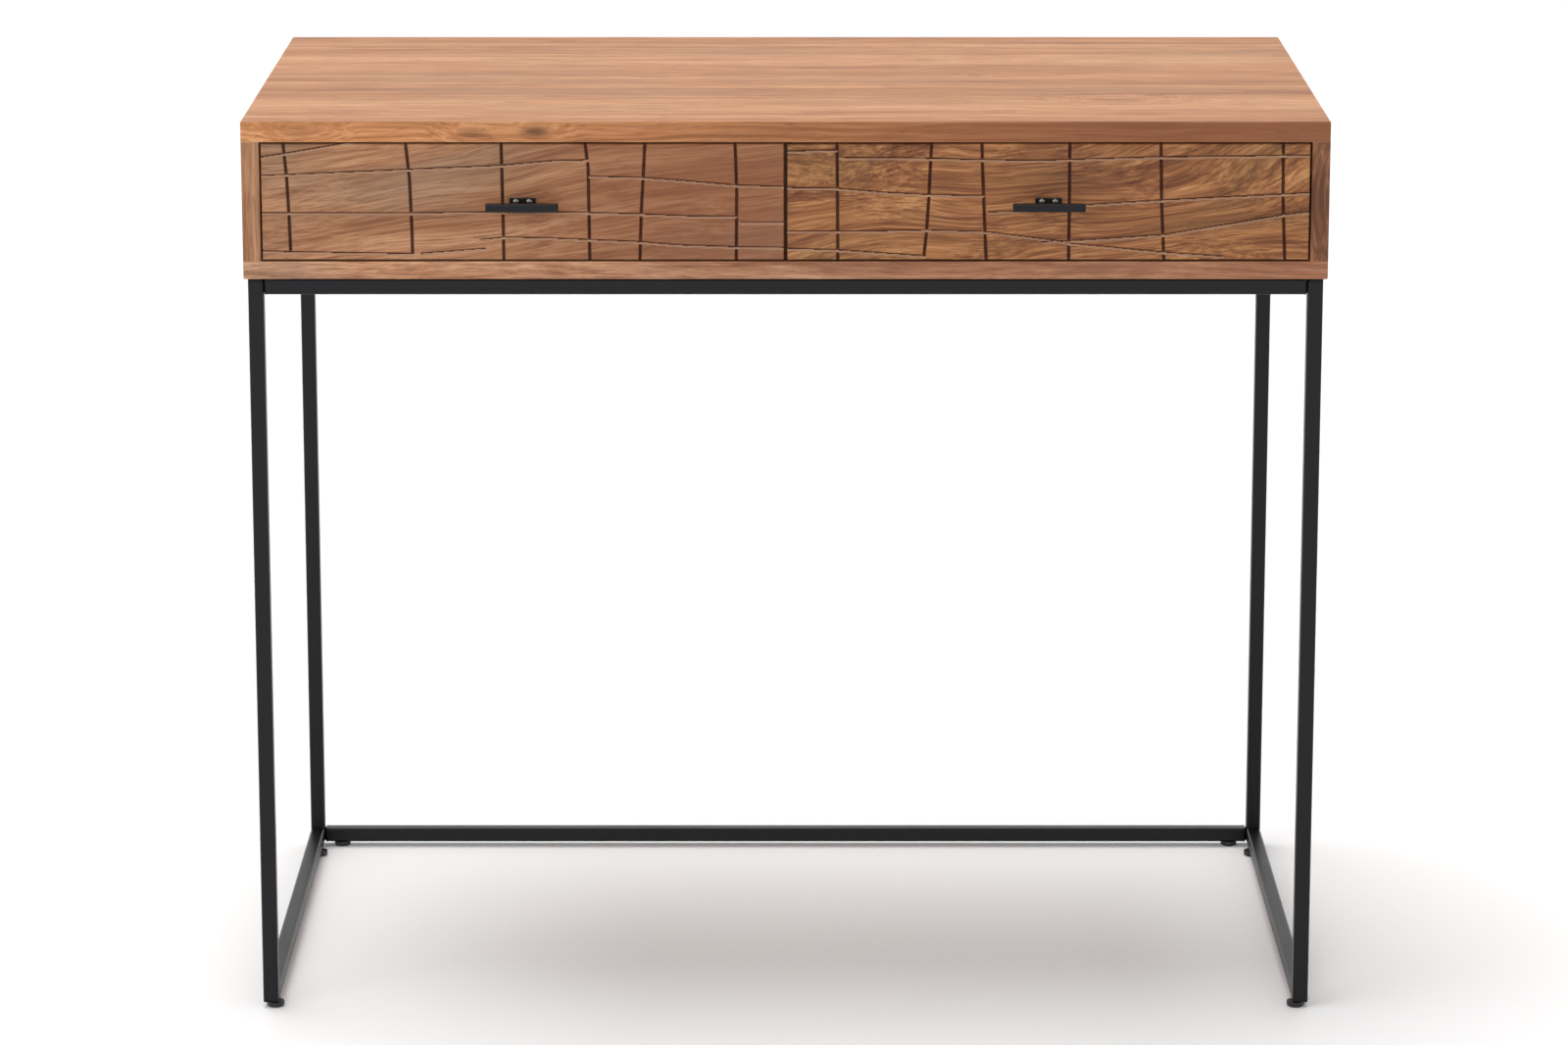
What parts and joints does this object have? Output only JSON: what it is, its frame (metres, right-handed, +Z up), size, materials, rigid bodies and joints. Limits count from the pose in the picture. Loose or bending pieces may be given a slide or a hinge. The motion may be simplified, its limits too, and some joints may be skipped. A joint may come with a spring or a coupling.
{
  "type": "writing desk with drawers",
  "caption": "Writing desk with a shallow acacia case, inset drawers with carved fronts and black bar pulls, on an open frame of slim black square steel tube.",
  "frame": {"origin": "on the floor, at the middle of the width and midway between the front of the pulls and the rearmost floor glides", "axes": "+Z up, +X to the right of someone who sits at the desk, +Y from the front towards the back; the drawers pull out along -Y"},
  "size_m": [0.9, 0.521, 0.765],
  "materials": {
    "acacia": "satin oiled",
    "plywood": "plain",
    "beech": "plain",
    "black_steel": "satin powder coat",
    "black_bolt": "black oxide",
    "zinc_steel": "zinc plated",
    "bright_steel": "bright",
    "black_plastic": "matte"
  },
  "bodies": {
    "case_and_frame": {"top_panel": "acacia", "bottom_panel": "acacia", "left_side_panel": "acacia", "right_side_panel": "acacia", "back_panel": "plywood", "centre_partition": "acacia", "case_dowels": "beech", "left_bay_outer_runner": "zinc_steel", "left_bay_inner_runner": "zinc_steel", "right_bay_inner_runner": "zinc_steel", "right_bay_outer_runner": "zinc_steel", "case_runner_screws": "zinc_steel", "left_front_leg": "black_steel", "left_rear_leg": "black_steel", "left_top_rail": "black_steel", "left_low_rail": "black_steel", "right_front_leg": "black_steel", "right_rear_leg": "black_steel", "right_top_rail": "black_steel", "right_low_rail": "black_steel", "front_cross_rail": "black_steel", "rear_cross_rail": "black_steel", "low_cross_rail": "black_steel", "leg_end_plates": "black_steel", "rail_end_plugs": "black_steel", "frame_bolts": "black_bolt", "case_screws": "black_bolt", "left_front_glide": "black_plastic", "right_front_glide": "black_plastic", "left_side_glide": "black_plastic", "right_side_glide": "black_plastic", "left_rail_glide": "black_plastic", "right_rail_glide": "black_plastic"},
    "left_drawer": {"left_drawer_front": "acacia", "left_drawer_left_side": "acacia", "left_drawer_right_side": "acacia", "left_drawer_back": "acacia", "left_drawer_bottom": "plywood", "left_drawer_dowels": "beech", "left_drawer_outer_slide": "zinc_steel", "left_drawer_inner_slide": "zinc_steel", "left_drawer_slide_screws": "zinc_steel", "left_pull": "black_steel", "left_pull_screws": "bright_steel"},
    "right_drawer": {"right_drawer_front": "acacia", "right_drawer_left_side": "acacia", "right_drawer_right_side": "acacia", "right_drawer_back": "acacia", "right_drawer_bottom": "plywood", "right_drawer_dowels": "beech", "right_drawer_inner_slide": "zinc_steel", "right_drawer_outer_slide": "zinc_steel", "right_drawer_slide_screws": "zinc_steel", "right_pull": "black_steel", "right_pull_screws": "bright_steel"}
  },
  "joints": [
    {"name": "left_drawer_pull", "type": "slide", "parent": "case_and_frame", "child": "left_drawer", "axis": [0, -1, 0], "range_m": [0, 0.3]},
    {"name": "right_drawer_pull", "type": "slide", "parent": "case_and_frame", "child": "right_drawer", "axis": [0, -1, 0], "range_m": [0, 0.3]}
  ]
}
